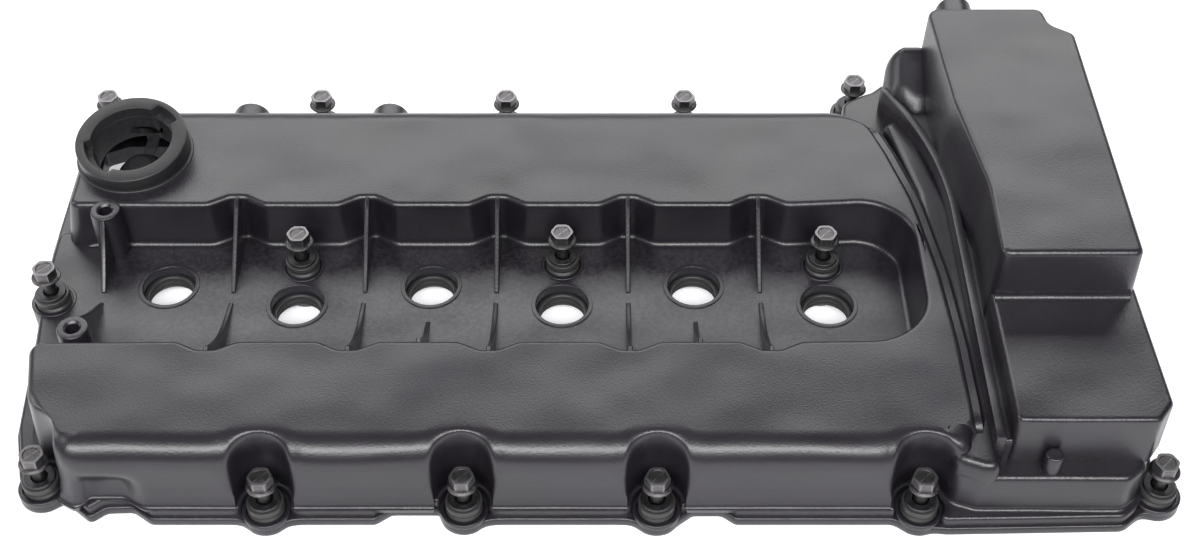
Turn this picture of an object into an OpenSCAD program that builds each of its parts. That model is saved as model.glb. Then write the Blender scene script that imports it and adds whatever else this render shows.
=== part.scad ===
// Cam cover of a narrow-angle six-cylinder engine: a moulded shell with two cam humps,
// a plug valley between them, an oil separator box at the chain end, and captive bolts.
// X runs along the crankshaft, Y across the engine, Z up. Z = 0 is the gasket face.

/* [Plug wells] */
// Distance between neighbouring plug wells along the cover
plug_pitch = 65; // [64:0.5:66]
// How far each well sits from the long centre line, on alternating sides
plug_stagger = 6.3; // [5:0.1:7]
// Radius of a well's wall
well_r = 12.85; // [12.5:0.05:13]
// Thickness of a well's wall
well_wall = 1.7; // [1.5:0.1:2]
// Radius of the seal lip that grips the plug tube
seal_r = 11; // [10.5:0.1:11.2]
// Height of a plug seal
seal_h = 8.6; // [7:0.1:9]

/* [Shell] */
// Height of the cam humps above the gasket face
hump_top = 46; // [44:0.5:48]
// Height of the valley floor above the gasket face
valley_z = 19; // [18.5:0.1:19.5]
// Thickness of the moulded walls
wall = 3; // [2.6:0.1:3.2]
// Radius of the front hump's long shoulder
front_shoulder_r = 13; // [11:0.5:15]
// Radius of the rear hump's long shoulder
rear_shoulder_r = 16; // [14:0.5:18]
// Thickness of the ribs in the valley
rib_t = 2.4; // [2:0.1:3]

/* [Flange] */
// Height of the flange's top face
flange_top = 10; // [9.5:0.5:10]
// Height of the step that runs around the flange
lip_top = 5; // [4:0.5:6]
// How far the flange steps in above its lip
lip_step = 1.8; // [1:0.1:2.4]
// Width of the flange inside the gasket
flange_land = 3.4; // [3:0.2:4]
// How far the rubber gasket stands out of the flange
gasket_proud = 0.6; // [0.4:0.1:0.8]
// Width of the gasket bead
gasket_w = 3.6; // [3:0.1:4]
// Height of the gasket bead
gasket_h = 2.6; // [2.2:0.1:2.7]
// Outer radius of a bolt boss
boss_r = 11.2; // [11:0.1:11.5]
// Height of a bolt boss's rim
boss_top = 7.2; // [7:0.1:7.5]

/* [Bolts] */
// Radius of the bolt's thread, M6
thread_r = 3; // [2.9:0.05:3]
// Width of the bolt's hexagon across its flats
hex_af = 10; // [9:0.5:10]
// Height of the hexagon
hex_h = 5.2; // [4.5:0.1:6]
// Radius of the bolt's washer flange
head_flange_r = 7; // [6.5:0.1:7.4]
// Thickness of the bolt's washer flange
head_flange_h = 1.3; // [1:0.1:1.6]
// How far a captive bolt drops before its head meets the steel sleeve
bolt_travel = 9.4; // [8:0.1:9.4]
// Radius of the sleeve's washer
washer_r = 7.85; // [7.6:0.05:8]
// Radius of the rubber grommet
grommet_r = 8.5; // [8.3:0.05:8.55]

/* [Separator box] */
// Height of the box's upper tier
upper_tier_z = 88; // [84:1:92]
// Height of the box's lower tier
lower_tier_z = 60; // [58:1:62]
// Height of the ledge in front of the box
ledge_z = 32; // [30:0.5:33]
// Height of the weld rail beside the box
rail_top = 48; // [47:0.5:50]
// Width of the weld rail
rail_w = 4.4; // [4:0.1:5]

/* [Oil filler] */
// Outer radius of the filler neck
neck_r = 28; // [27:0.5:28.5]
// Radius of the filler neck's bore
neck_bore_r = 20.5; // [20:0.5:21]
// Lean of the filler neck towards the front
neck_lean = 8; // [6:0.5:9]

/* [Hidden] */
$fn = 64;

// Plug wells and ribs, numbered from the filler end
well_x = [for (i = [0:5]) (i - 2.5) * plug_pitch];
well_y = [for (i = [0:5]) i % 2 == 0 ? plug_stagger : -plug_stagger];
rib_x = [for (i = [-2:2]) i * plug_pitch];

// Bolts: [x, y, height of the boss's rim], front row, rear row, then the valley
low_rim = boss_top;
high_rim = valley_z + 0.4;
bolts = [[-202.5, -107, low_rim], [-99, -119.5, low_rim], [-10, -119, low_rim],
         [76.5, -119.5, low_rim], [194.5, -119.5, low_rim], [303, -111.5, low_rim],
         [-217, 138.5, low_rim], [-100.6, 138.5, low_rim], [0, 138.5, low_rim],
         [97, 138.5, low_rim], [191, 151.5, low_rim], [296, 146, low_rim],
         [-217.3, -3.5, high_rim], [-97.5, 20, high_rim], [32.4, 21.2, high_rim],
         [162.2, 20.5, high_rim]];
perimeter_bolts = [for (b = bolts) if (b.z == low_rim) b];
valley_bolts = [for (b = bolts) if (b.z == high_rim) b];
washer_lift = 6.8;
washer_t = 1.4;
sleeve_r = 5;
sleeve_bore_r = 3.75;
shank_r = thread_r - 0.35;
thread_h = 10;
cup_r = 8.8;
bolt_hole_r = 5.6;
scoop_r = boss_r + 2;

// Outline of the flange, [x, y, corner radius] anticlockwise from the front-left corner
left_x = -231.5;
right_x = 306;
front_y = -124.7;
rear_y = 137;
end_rear_y = 152;
flange_plan = [[-214, -106, 10], [-191, -113.6, 6], [-178.5, -124, 3], [-172, -118.6, 5],
               [-160, -118.2, 6], [-151, front_y, 5], [-50, front_y, 4], [-43, -119.6, 4],
               [-22, -119.6, 3], [-12, front_y, 3], [87, front_y, 4], [93, -120, 4],
               [106, -120, 4], [112, front_y, 4], [182, front_y, 12], [206, -130, 12],
               [286, -128.4, 8], [right_x, -112, 9], [right_x, 138, 10], [292, end_rear_y, 10],
               [181, end_rear_y, 12], [170, rear_y, 10], [-221, rear_y, 10],
               [left_x, 124, 10], [left_x, 38, 30], [-222, -76, 20]];

// Outline of the gasket's centre line, inside every bolt of the rim
gasket_plan = [[-188, -92, 10], [-174, -106, 8], [-158, -106, 8], [-148, -110.5, 6],
               [204, -110.5, 10], [286, -112, 8], [290, -96, 8], [290, 130, 10], [280, 137, 10],
               [206, 137, 14], [170, 122, 14], [-200, 122, 10], [-215, 108, 10], [-216, 24, 12],
               [-200, 12, 8], [-200, -18, 8], [-213, -30, 8]];

// Outline of the valley between the humps, open at the filler end
rear_flat_y = 36.3;
rear_dip_y = 42;
front_flat_y = -53;
front_dip_y = -58;
dip_half = 14;
valley_end_x = 206;
valley_plan = concat(
    [[-260, front_flat_y, 0]],
    [for (x = rib_x) each dip(x, front_flat_y, front_dip_y, 1)],
    [[valley_end_x, front_flat_y + 1, 30], [valley_end_x, 40, 26]],
    [for (i = [4:-1:0]) each dip(rib_x[i], rear_flat_y, rear_dip_y, -1)],
    [[-260, rear_flat_y, 0]]);

// The separator box's outlines, anticlockwise
upper_plan = [[232, -38.5, 3], [296, -38.5, 3], [294.5, 120, 5], [283, 128, 6], [281, 141, 4],
              [221, 141, 5], [225, 68, 30]];
lower_plan = [[229, -112, 4], [293.3, -112, 5], [301, -102, 4], [298.5, -30, 3], [231, -30, 3]];
shoulder_plan = [[203, 112, 8], [226, 100, 4], [226, 141, 4], [206, 141, 8]];
shoulder_z = 64;
box_front_y = -112;
ledge_front_y = -119.5;
ledge_end_x = 290;
box_x = 224;
housing_split_x = 176;
hump_end_x = 213;
groove_z = 40;

// The weld rail: a straight run beside the box, then an arc behind it
rail_x = 224.4;
rail_turn_y = 30;
rail_arc_r = 185;
rail_arc_end = 30;

neck_x = -186.3;
neck_y = 72.3;
neck_z = 58;
neck_h = 22;
neck_solid_h = 10;
neck_bore_h = 16;
rear_boss_x = [-135, -61];
rear_boss_z = 33;
post_at = [[-194.1, 32.9], [-193.7, -45.4]];
post_r = 7.3;
post_hole_r = 3.25;
post_hole_depth = 20;
separator_floor_z = 46;
drain_at = [262, 0];
drain_r = 5;
port_at = [240, 141, 71];
port_r = 9.5;
port_h = 20;

// The cover's own centre, so that the model's origin is under the middle of its box
x_low = left_x;
x_high = 303 + boss_r;
y_low = -119.5 - boss_r;
y_high = 151.5 + boss_r;
middle = [(x_low + x_high) / 2, (y_low + y_high) / 2, 0];

moulded = [0.16, 0.16, 0.165];
rubber = [0.07, 0.07, 0.07];
bolt_steel = [0.33, 0.32, 0.32];
sleeve_steel = [0.28, 0.28, 0.29];

// One dip of the valley's edge at a rib, entered from the filler end when side is 1
function dip(x, flat, low, side) = [
    [x - side * dip_half, flat, 8],
    [x - side * 4, low, 6],
    [x + side * 4, low, 6],
    [x + side * dip_half, flat, 8]];

function unit(v) = v / norm(v);
function turn(v, a) = [v.x * cos(a) - v.y * sin(a), v.x * sin(a) + v.y * cos(a)];
function before(points, i) = points[(i + len(points) - 1) % len(points)];
function after(points, i) = points[(i + 1) % len(points)];
function flat(p) = [p.x, p.y];

// Moves every side of an anticlockwise outline inwards by d, or outwards if d is negative
function inset(points, d) = [
    for (i = [0:len(points) - 1])
        let (p = points[i],
             u = unit(flat(p) - flat(before(points, i))),
             v = unit(flat(after(points, i)) - flat(p)),
             n = [-u.y, u.x] + [-v.y, v.x],
             left_turn = cross(u, v) > 0,
             q = flat(p) + n * d / (1 + u * v))
            [q.x, q.y, p.z == 0 ? 0 : max(p.z + (left_turn ? -d : d), 0.4)]];

// Sweeps each corner of an outline as an arc of its own radius
function rounded(points, steps = 5) = [
    for (i = [0:len(points) - 1])
        let (p = flat(points[i]),
             r = points[i].z,
             u = unit(flat(before(points, i)) - p),
             v = unit(flat(after(points, i)) - p),
             half = acos(max(-1, min(1, u * v))) / 2)
            each (r == 0 || half > 89.5
                ? [p]
                : let (centre = p + unit(u + v) * r / sin(half),
                       start = p + u * r / tan(half) - centre,
                       sweep = (cross(u, v) > 0 ? -1 : 1) * (180 - 2 * half))
                      [for (k = [0:steps]) centre + turn(start, sweep * k / steps)])];

module framed() {
    translate(-middle) children();
}

module prism(plan, z0, z1) {
    translate([0, 0, z0]) linear_extrude(z1 - z0) polygon(rounded(plan));
}

// A band that follows an outline, half its width on each side of it
module band(plan, w, z0, z1) {
    translate([0, 0, z0]) linear_extrude(z1 - z0) difference() {
        polygon(rounded(inset(plan, -w / 2)));
        polygon(rounded(inset(plan, w / 2)));
    }
}

module region(x0, x1, y0, y1, z0, z1) {
    translate([x0, y0, z0]) cube([x1 - x0, y1 - y0, z1 - z0]);
}

// ---- Flange ----

module flange_ring() {
    difference() {
        union() {
            prism(flange_plan, gasket_proud, lip_top);
            prism(inset(flange_plan, lip_step), gasket_proud, flange_top);
            for (b = perimeter_bolts)
                translate([b.x, b.y, gasket_proud]) cylinder(r = boss_r, h = boss_top - gasket_proud);
        }
        prism(inset(gasket_plan, gasket_w / 2 + flange_land), -1, flange_top + 1);
        for (b = perimeter_bolts) translate([b.x, b.y, 0]) {
            translate([0, 0, 3]) cylinder(r = cup_r, h = flange_top);
            translate([0, 0, -1]) cylinder(r = bolt_hole_r, h = 9);
        }
        for (b = valley_bolts)
            translate([b.x, b.y, -1]) cylinder(r = boss_r, h = flange_top + 2);
        band(gasket_plan, gasket_w, -1, gasket_h);
    }
}

module flange_part(x0, x1, y0, y1) {
    color(moulded) framed() intersection() {
        flange_ring();
        region(x0, x1, y0, y1, -2, flange_top + 2);
    }
}

flange_front_y = -94;
flange_rear_y = 106;

module cover_flange_front() {
    flange_part(-300, 400, -200, flange_front_y);
}

module cover_flange_rear() {
    flange_part(-300, 400, flange_rear_y, 200);
}

module cover_flange_left() {
    flange_part(-300, 0, flange_front_y, flange_rear_y);
}

module cover_flange_right() {
    flange_part(200, 400, flange_front_y, flange_rear_y);
}

// ---- Shell over the cams ----

// The humps' cross-section, front wall to rear wall, with every face moved inwards by d
module hump_profile(d) {
    front = front_y + 4.2 + d;
    rear_foot = rear_y - 6 - d;
    rear_head = rear_foot - (hump_top - flange_top) * 0.62;
    top = hump_top - d;
    rotate([90, 0, 90]) translate([0, 0, -260]) linear_extrude(600) polygon(rounded([
        [front, -2, 0], [rear_foot + 8, -2, 0], [rear_head, top, rear_shoulder_r - d],
        [front, top, front_shoulder_r - d]], 8));
}

// The sloping wall at the filler end of the humps
module end_profile(d) {
    rotate([90, 0, 0]) translate([0, 0, -200]) linear_extrude(400) polygon([
        [-224 + d, -2], [400, -2], [400, hump_top + 2], [-212.4 + d, hump_top + 2]]);
}

front_hump_end = [[-213, -106, 6], [-189, -112, 8], [-182, -121, 8], [-182, -140, 0],
                  [400, -140, 0], [400, 200, 0], [-260, 200, 0], [-260, -20, 0],
                  [-214, -50, 6]];

// Clearance around each rim bolt, and the low recess in the front wall
module wall_scoops(d) {
    for (b = perimeter_bolts)
        translate([b.x, b.y, -3]) cylinder(r = scoop_r + d, h = hump_top + 10);
    translate([-190 - d, 0, 0]) rotate([90, 0, 90]) linear_extrude(35 + 2 * d)
        polygon([[-140, -3], [-113.5 + d, -3], [-113.5 + d, 19 + d], [-122 + d, 32 + d],
                 [-140, 32 + d]]);
}

module hump_solid(d) {
    difference() {
        intersection() {
            prism(inset(flange_plan, 5.4 + d), d > 0 ? -1 : flange_top, hump_top - d);
            hump_profile(d);
            end_profile(d);
            prism(inset(front_hump_end, d), -2, hump_top + 1);
        }
        prism(inset(valley_plan, -d), -3, hump_top + 3);
        wall_scoops(d);
    }
}

module hump_shell() {
    difference() {
        hump_solid(0);
        hump_solid(wall);
    }
}

// Where each hump is split into a wall and a roof, so that each is a simple shape
front_split_y = -96;
rear_split_y = 98;

module cover_front_wall() {
    color(moulded) framed() intersection() {
        hump_shell();
        region(-260, housing_split_x, -200, front_split_y, flange_top, hump_top);
    }
}

module cover_front_roof() {
    color(moulded) framed() intersection() {
        hump_shell();
        region(-260, housing_split_x, front_split_y, -20, flange_top, hump_top);
    }
}

module neck_axis() {
    translate([neck_x, neck_y, neck_z]) rotate([neck_lean, 0, 0]) children();
}

module neck_space() {
    neck_axis() translate([0, 0, -neck_h - 4]) cylinder(r = neck_r, h = neck_h + 8);
}

module cover_rear_wall() {
    color(moulded) framed() difference() {
        union() {
            intersection() {
                hump_shell();
                region(-260, housing_split_x, rear_split_y, 200, flange_top, hump_top);
            }
            for (x = rear_boss_x) difference() {
                translate([x, 100, rear_boss_z]) rotate([-90, 0, 0]) cylinder(r = 11, h = 25);
                hump_solid(wall);
            }
        }
        neck_space();
        for (x = rear_boss_x)
            translate([x, 118, rear_boss_z]) rotate([-90, 0, 0]) cylinder(r = 8.4, h = 25);
    }
}

module cover_rear_roof() {
    color(moulded) framed() difference() {
        intersection() {
            hump_shell();
            region(-260, housing_split_x, 20, rear_split_y, flange_top, hump_top);
        }
        neck_space();
    }
}

// The chain end is full height beside the valley and low under the separator box
module end_solid(d) {
    difference() {
        prism(inset(flange_plan, 5.4 + d), d > 0 ? -1 : flange_top, hump_top - d);
        prism(inset(valley_plan, -d), -3, hump_top + 3);
        region(box_x - d, 400, -200, 200, ledge_z - d, hump_top + 1);
        for (b = perimeter_bolts)
            translate([b.x, b.y, -3]) cylinder(r = scoop_r + d, h = hump_top + 10);
        rotate([90, 0, 0]) translate([0, 0, -200]) linear_extrude(400) polygon([
            [hump_end_x - d, hump_top + 2], [hump_end_x - d, hump_top - d],
            [hump_end_x + 6 - d, groove_z - d], [box_x + 2, groove_z - d],
            [box_x + 2, hump_top + 2]]);
    }
}

module cover_end_housing() {
    stub = [250, -116.2];
    color(moulded) framed() difference() {
        union() {
            intersection() {
                difference() {
                    end_solid(0);
                    end_solid(wall);
                }
                region(housing_split_x, 400, -200, 200, flange_top, hump_top);
            }
            translate([stub.x, stub.y, ledge_z - 2]) cylinder(r = 4, h = 12);
        }
        prism(inset(lower_plan, wall + 1), ledge_z - wall - 1, ledge_z + 1);
        region(233, 290, -60, 136, ledge_z - wall - 1, ledge_z + 1);
    }
}

// ---- Valley ----

module cover_valley() {
    floor_t = 3.4;
    color(moulded) framed() difference() {
        union() {
            intersection() {
                prism(inset(flange_plan, 5.4), 0, valley_z);
                prism(inset(valley_plan, 0.01), valley_z - floor_t, valley_z);
            }
            intersection() {
                difference() {
                    prism(inset(flange_plan, 5.4), flange_top, valley_z);
                    prism(inset(flange_plan, 5.4 + wall), 0, valley_z + 1);
                }
                region(-260, -150, front_flat_y, rear_flat_y, flange_top, valley_z);
            }
            for (i = [0:5]) translate([well_x[i], well_y[i], 3])
                cylinder(r = well_r + well_wall, h = valley_z + 0.5 - 3);
            for (b = valley_bolts)
                translate([b.x, b.y, gasket_proud])
                    cylinder(r = boss_r - 0.3, h = b.z - gasket_proud);
        }
        for (i = [0:5])
            translate([well_x[i], well_y[i], 0]) cylinder(r = well_r, h = 60);
        for (b = valley_bolts) translate([b.x, b.y, 0]) {
            translate([0, 0, b.z - 4.2]) cylinder(r = cup_r, h = 30);
            translate([0, 0, -1]) cylinder(r = bolt_hole_r, h = 30);
        }
    }
}

// A triangular web across the valley, from a wall's top edge down to a tip on the floor
module web(x, y_wall, y_tip) {
    translate([x - rib_t / 2, 0, 0]) rotate([90, 0, 90]) linear_extrude(rib_t)
        polygon([[y_wall, valley_z], [y_wall, hump_top - 0.5], [y_wall - sign(y_wall) * 1.5,
                 hump_top - 0.5], [y_tip, valley_z + 0.6], [y_tip, valley_z]]);
}

module cover_valley_ribs() {
    color(moulded) framed() {
        for (x = rib_x) {
            web(x, rear_dip_y, 2);
            web(x, front_dip_y, -5.5);
        }
        for (x = [well_x[2], well_x[4]]) web(x, front_flat_y, -18);
        web(post_at[0].x, post_at[0].y - post_r, 2);
        web(post_at[1].x, post_at[1].y + post_r, -5.5);
    }
}

module cover_screw_posts() {
    color(moulded) framed() for (p = post_at) difference() {
        translate([p.x, p.y, valley_z]) cylinder(r = post_r, h = hump_top - valley_z);
        translate([p.x, p.y, hump_top - post_hole_depth])
            cylinder(r = post_hole_r, h = post_hole_depth + 1);
        hump_solid(0);
    }
}

// ---- Oil separator box at the chain end ----

module box_solid(d) {
    prism(inset(upper_plan, d), ledge_z - d, upper_tier_z - d);
    prism(inset(lower_plan, d), ledge_z - d, lower_tier_z - d);
    prism(inset(shoulder_plan, d), ledge_z - d, shoulder_z - d);
}

module weld_rail() {
    translate([0, 0, ledge_z]) linear_extrude(rail_top - ledge_z) {
        translate([rail_x, box_front_y]) square([rail_w, rail_turn_y - box_front_y]);
        intersection() {
            translate([rail_x - rail_arc_r, rail_turn_y]) difference() {
                circle(r = rail_arc_r + rail_w, $fn = 180);
                circle(r = rail_arc_r, $fn = 180);
            }
            translate([200, rail_turn_y]) square([60, 94]);
        }
    }
}

module separator_housing() {
    color(moulded) framed() difference() {
        union() {
            box_solid(0);
            weld_rail();
            region(rail_x + 1, 240, box_front_y, 20, ledge_z, 44);
        }
        box_solid(wall);
        end_solid(0);
        translate(port_at) rotate([90, 0, 0]) translate([0, 0, -1]) cylinder(r = port_r - 2, h = 8);
    }
}

module separator_floor() {
    color(moulded) framed() difference() {
        intersection() {
            box_solid(wall + 0.2);
            region(228, 400, -200, 200, separator_floor_z, separator_floor_z + 3);
        }
        translate([drain_at.x, drain_at.y, 40]) cylinder(r = drain_r, h = 20);
    }
}

module separator_baffles() {
    color(moulded) framed() for (i = [0:7]) {
        y = 106 - i * 26;
        x = i % 2 == 0 ? 236 : 252;
        region(x, x + 38, y, y + 2, separator_floor_z + 3,
               (y > -34 ? upper_tier_z : lower_tier_z) - wall - 4);
    }
}

module separator_drain_tube() {
    drain_bottom = 14;
    drain_h = separator_floor_z + 3 - drain_bottom;
    color(moulded) framed() translate([drain_at.x, drain_at.y, drain_bottom]) difference() {
        cylinder(r = drain_r, h = drain_h);
        translate([0, 0, -1]) cylinder(r = drain_r - 1.4, h = drain_h + 2);
    }
}

module breather_port() {
    color(moulded) framed() translate(port_at) rotate([-90, 0, 0]) difference() {
        cylinder(r = port_r, h = port_h);
        translate([0, 0, -1]) cylinder(r = port_r - 2, h = port_h + 2);
    }
}

// ---- Oil filler ----

module filler_neck() {
    notch_w = 15;
    color(moulded) framed() neck_axis() difference() {
        translate([0, 0, -neck_h]) cylinder(r = neck_r, h = neck_h);
        translate([0, 0, -neck_h - 1]) cylinder(r = neck_bore_r, h = neck_h + 2);
        translate([0, 0, -neck_h - 1]) difference() {
            cylinder(r = neck_r - 2.6, h = neck_h + 1 - neck_solid_h);
            translate([0, 0, neck_h + 1 - neck_bore_h]) cylinder(r = neck_bore_r + 2, h = neck_h);
        }
        for (a = [48, 228]) rotate(a) translate([0, -notch_w / 2, -5])
            cube([neck_bore_r + 4, notch_w, 6]);
    }
}

// A small dome that hangs under the neck on three legs and keeps oil off the filler cap
module filler_splash_guard() {
    guard_drop = 30;
    plate_t = 2.4;
    leg_w = 6;
    leg_r = neck_bore_r + 2.4;
    color(moulded) framed() neck_axis() translate([0, 0, -guard_drop]) {
        cylinder(r = 15, h = plate_t);
        cylinder(r1 = 11, r2 = 8, h = 8);
        for (a = [30, 150, 270]) rotate(a) {
            translate([10, -leg_w / 2, 0]) cube([leg_r - 8, leg_w, plate_t]);
            translate([leg_r, -leg_w / 2, 0]) cube([2.2, leg_w, guard_drop - neck_solid_h]);
        }
    }
}

// ---- Seals ----

module perimeter_gasket() {
    color(rubber) framed() band(gasket_plan, gasket_w, 0, gasket_h);
}

module plug_seal(i) {
    color(rubber) framed() translate([well_x[i], well_y[i], 13.6 - seal_h]) difference() {
        cylinder(r = well_r, h = seal_h);
        translate([0, 0, -1]) cylinder(r = seal_r, h = seal_h + 2);
    }
}

module plug_seal_1() { plug_seal(0); }
module plug_seal_2() { plug_seal(1); }
module plug_seal_3() { plug_seal(2); }
module plug_seal_4() { plug_seal(3); }
module plug_seal_5() { plug_seal(4); }
module plug_seal_6() { plug_seal(5); }

// ---- Captive bolts ----

module bolt_sleeves() {
    color(sleeve_steel) framed() for (b = bolts) translate([b.x, b.y, 0]) difference() {
        union() {
            translate([0, 0, 2]) cylinder(r = sleeve_r, h = b.z + washer_lift - 2);
            translate([0, 0, b.z + washer_lift - washer_t]) cylinder(r = washer_r, h = washer_t);
        }
        translate([0, 0, 1]) cylinder(r = sleeve_bore_r, h = 60);
    }
}

module bolt_grommets() {
    color(rubber) framed() for (b = bolts) translate([b.x, b.y, b.z - 4.1]) difference() {
        union() {
            cylinder(r = grommet_r, h = 4.9);
            cylinder(r = grommet_r - 1.1, h = 6.9);
            translate([0, 0, 6.3]) cylinder(r = grommet_r, h = 4.1 + washer_lift - washer_t - 6.3);
        }
        translate([0, 0, -1]) cylinder(r = sleeve_r, h = 60);
    }
}

module bolt(i) {
    b = bolts[i];
    under_head = b.z + washer_lift + bolt_travel + 0.1;
    color(bolt_steel) framed() translate([b.x, b.y, 0]) {
        cylinder(r1 = thread_r - 0.7, r2 = thread_r, h = 0.7);
        translate([0, 0, 0.7]) cylinder(r = thread_r, h = thread_h - 0.7);
        cylinder(r = shank_r - 0.75, h = 1);
        translate([0, 0, thread_h]) cylinder(r = shank_r, h = under_head - thread_h);
        translate([0, 0, under_head]) cylinder(r = head_flange_r, h = head_flange_h);
        translate([0, 0, under_head + head_flange_h]) rotate(30)
            cylinder(r = hex_af / 2 / cos(30), h = hex_h, $fn = 6);
    }
}

module bolt_01() { bolt(0); }
module bolt_02() { bolt(1); }
module bolt_03() { bolt(2); }
module bolt_04() { bolt(3); }
module bolt_05() { bolt(4); }
module bolt_06() { bolt(5); }
module bolt_07() { bolt(6); }
module bolt_08() { bolt(7); }
module bolt_09() { bolt(8); }
module bolt_10() { bolt(9); }
module bolt_11() { bolt(10); }
module bolt_12() { bolt(11); }
module bolt_13() { bolt(12); }
module bolt_14() { bolt(13); }
module bolt_15() { bolt(14); }
module bolt_16() { bolt(15); }

cover_flange_front();
cover_flange_rear();
cover_flange_left();
cover_flange_right();
cover_front_wall();
cover_front_roof();
cover_rear_wall();
cover_rear_roof();
cover_end_housing();
cover_valley();
cover_valley_ribs();
cover_screw_posts();
separator_housing();
separator_floor();
separator_baffles();
separator_drain_tube();
filler_neck();
filler_splash_guard();
breather_port();
perimeter_gasket();
plug_seal_1();
plug_seal_2();
plug_seal_3();
plug_seal_4();
plug_seal_5();
plug_seal_6();
bolt_sleeves();
bolt_grommets();
bolt_01();
bolt_02();
bolt_03();
bolt_04();
bolt_05();
bolt_06();
bolt_07();
bolt_08();
bolt_09();
bolt_10();
bolt_11();
bolt_12();
bolt_13();
bolt_14();
bolt_15();
bolt_16();
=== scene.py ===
"""A moulded cam cover with its captive bolts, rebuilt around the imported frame."""

import math

import bmesh
import bpy
from bpy.props import FloatProperty, FloatVectorProperty, IntProperty, PointerProperty
from mathutils import Matrix, Vector


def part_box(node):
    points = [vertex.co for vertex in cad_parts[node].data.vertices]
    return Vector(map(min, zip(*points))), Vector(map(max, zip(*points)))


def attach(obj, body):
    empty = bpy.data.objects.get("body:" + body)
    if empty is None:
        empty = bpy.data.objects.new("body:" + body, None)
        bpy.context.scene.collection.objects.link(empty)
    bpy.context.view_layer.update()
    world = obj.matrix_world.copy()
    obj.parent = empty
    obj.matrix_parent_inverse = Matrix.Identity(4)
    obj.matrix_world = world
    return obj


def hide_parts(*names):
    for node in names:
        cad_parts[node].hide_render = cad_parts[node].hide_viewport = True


bl_info = {
    "name": "Cam Cover",
    "version": (1, 0, 0),
    "blender": (4, 5, 0),
    "location": "View3D > Sidebar > Cam Cover",
    "description": "Builds a moulded cam cover, its filler neck, seals and captive bolts",
    "category": "Object",
}

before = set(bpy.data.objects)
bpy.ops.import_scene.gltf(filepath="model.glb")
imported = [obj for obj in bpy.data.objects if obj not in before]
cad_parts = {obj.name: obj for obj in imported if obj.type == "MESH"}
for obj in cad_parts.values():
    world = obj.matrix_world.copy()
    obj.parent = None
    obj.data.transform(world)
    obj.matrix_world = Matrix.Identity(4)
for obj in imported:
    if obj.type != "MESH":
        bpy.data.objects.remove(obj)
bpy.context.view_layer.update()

MM = 0.001
WELLS = [f"plug_seal_{n}" for n in range(1, 7)]
BOLTS = [f"bolt_{n:02d}" for n in range(1, 17)]


def middle(node):
    """The middle of a CAD node's box, in metres."""
    low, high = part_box(node)
    return (low + high) / 2


# Every length below is in millimetres from the middle of the six wells, at the gasket's face.
ORIGIN = sum((middle(node) for node in WELLS), Vector()) / len(WELLS)
ORIGIN.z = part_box("perimeter_gasket")[0].z


def place(node):
    """Where a CAD node's middle stands, in millimetres from ORIGIN."""
    return (middle(node) - ORIGIN) / MM


def top_of(node):
    return (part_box(node)[1].z - ORIGIN.z) / MM


WELL_AT = [place(node).to_2d() for node in WELLS]
BOLT_AT = [place(node).to_2d() for node in BOLTS]
LOW_BOLTS = [at for at, node in zip(BOLT_AT, BOLTS) if top_of(node) < 36]
HIGH_BOLTS = [at for at, node in zip(BOLT_AT, BOLTS) if top_of(node) >= 36]
LOW_RIM = 7.2
HIGH_RIM = 19.4
HUMP_TOP = 46.0
VALLEY = 19.0
FLANGE_TOP = 10.0
LIP_TOP = 5.0
LEDGE = 32.0
CHANNEL = 39.5
RIB_AT = [-130, -65, 0, 65, 130]


# ---- Outlines ----


def turned(v, angle):
    return Vector((v.x * math.cos(angle) - v.y * math.sin(angle), v.x * math.sin(angle) + v.y * math.cos(angle)))


def cross(u, v):
    return u.x * v.y - u.y * v.x


def smooth(x, low, high):
    """0 below low, 1 above high, and a soft rise between them."""
    t = max(0.0, min(1.0, (x - low) / (high - low)))
    return t * t * (3 - 2 * t)


def mixed(a, b, t):
    return a + (b - a) * t


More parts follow.
